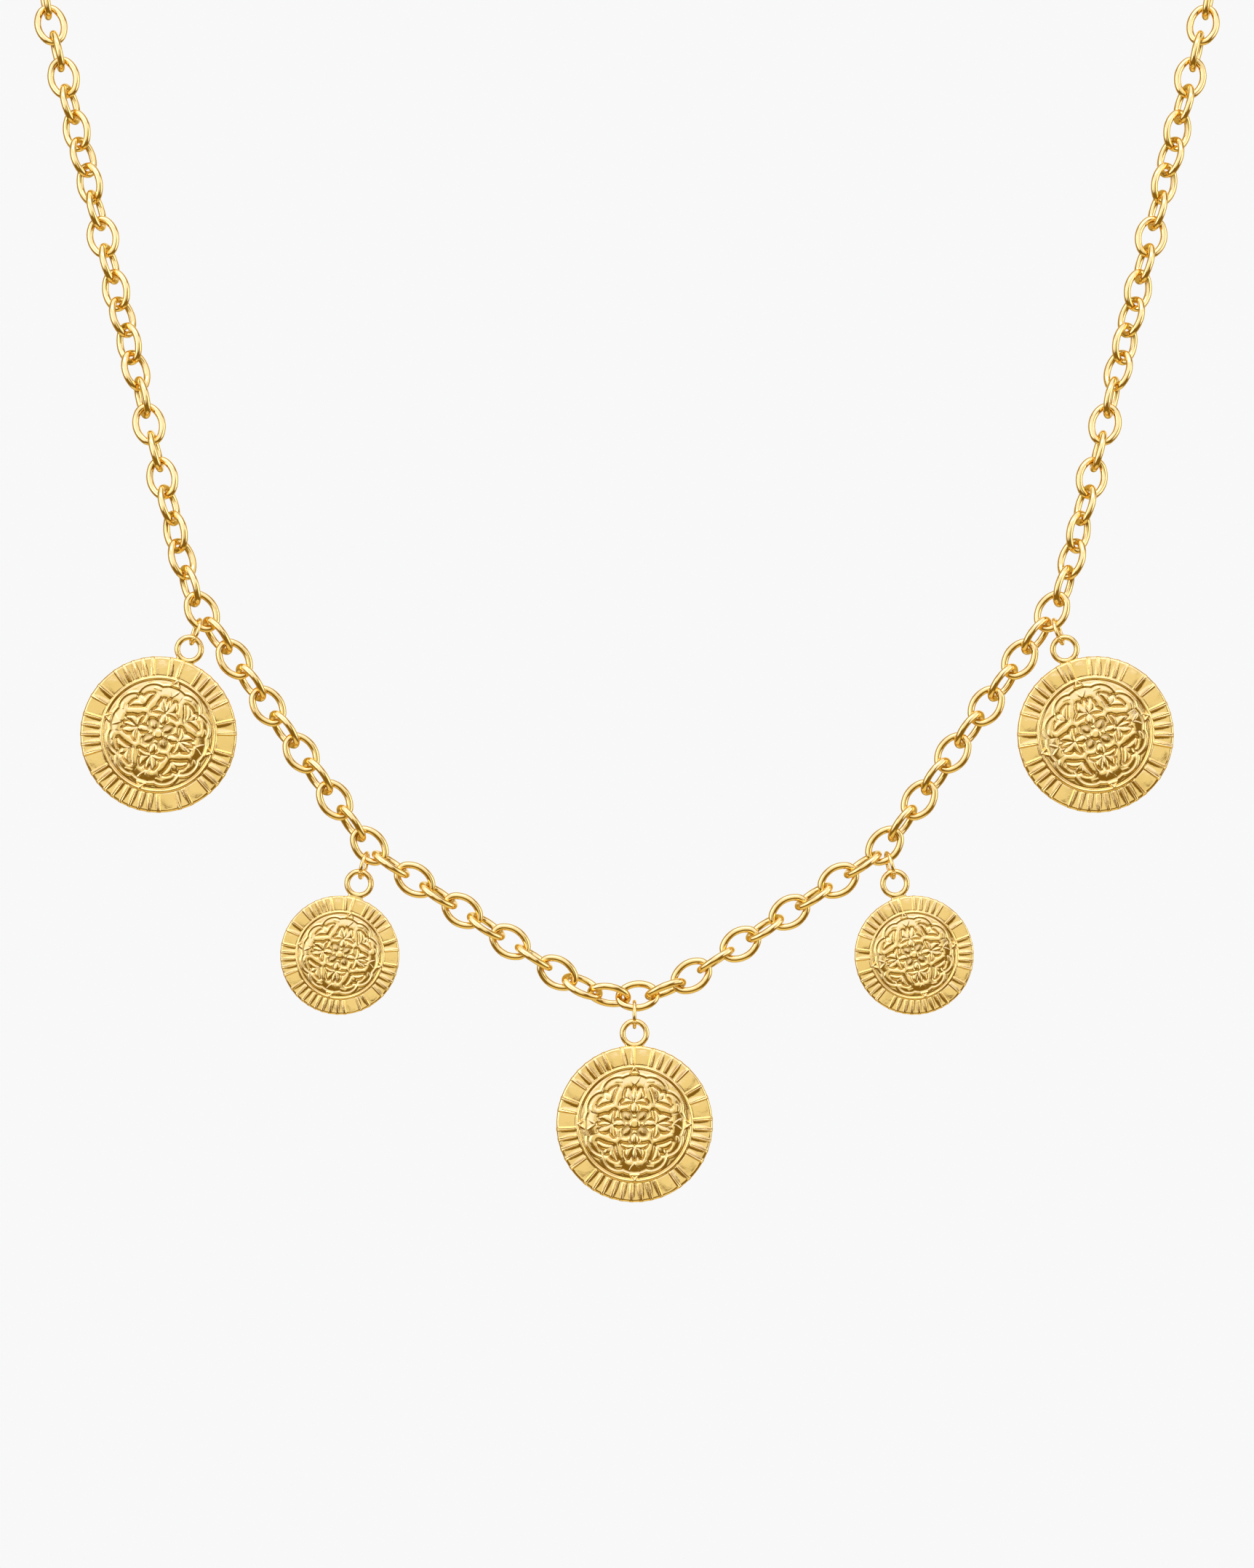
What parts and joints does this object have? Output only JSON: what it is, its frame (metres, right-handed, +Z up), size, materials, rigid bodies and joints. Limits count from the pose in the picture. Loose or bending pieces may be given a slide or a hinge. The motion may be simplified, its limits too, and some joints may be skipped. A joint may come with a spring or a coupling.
{
  "type": "necklace",
  "caption": "Cable-link chain necklace with cast coin medallions hung from jump rings along its front; the middle medallion swings.",
  "frame": {"origin": "middle of the clasp, where the necklace sits on the nape", "axes": "+Z up, -Y the front that a viewer sees, +X the viewer's right"},
  "size_m": [0.1438, 0.0962, 0.1762],
  "materials": {
    "chain_gold": "polished gold plate on round wire",
    "medallion_gold": "polished gold plate on a soft casting, darker in its recesses",
    "ring_gold": "polished gold plate"
  },
  "bodies": {
    "necklace": {"chain_left": "chain_gold", "chain_right": "chain_gold", "clasp": "ring_gold", "large_jump_ring_left": "ring_gold", "large_medallion_left": "medallion_gold", "small_jump_ring_left": "ring_gold", "small_medallion_left": "medallion_gold", "large_jump_ring_right": "ring_gold", "large_medallion_right": "medallion_gold", "small_jump_ring_right": "ring_gold", "small_medallion_right": "medallion_gold"},
    "centre_ring": {"centre_jump_ring": "ring_gold"},
    "centre_drop": {"centre_medallion": "medallion_gold"}
  },
  "joints": [
    {"name": "ring_swing", "type": "hinge", "parent": "necklace", "child": "centre_ring", "pos_m": [0.00086, -0.09265, -0.1507], "axis": [1, 0, 0], "range_deg": [-75, 75]},
    {"name": "medallion_swing", "type": "hinge", "parent": "centre_ring", "child": "centre_drop", "pos_m": [0.00086, -0.09265, -0.15291], "axis": [0, 1, 0], "range_deg": [-60, 60]}
  ]
}
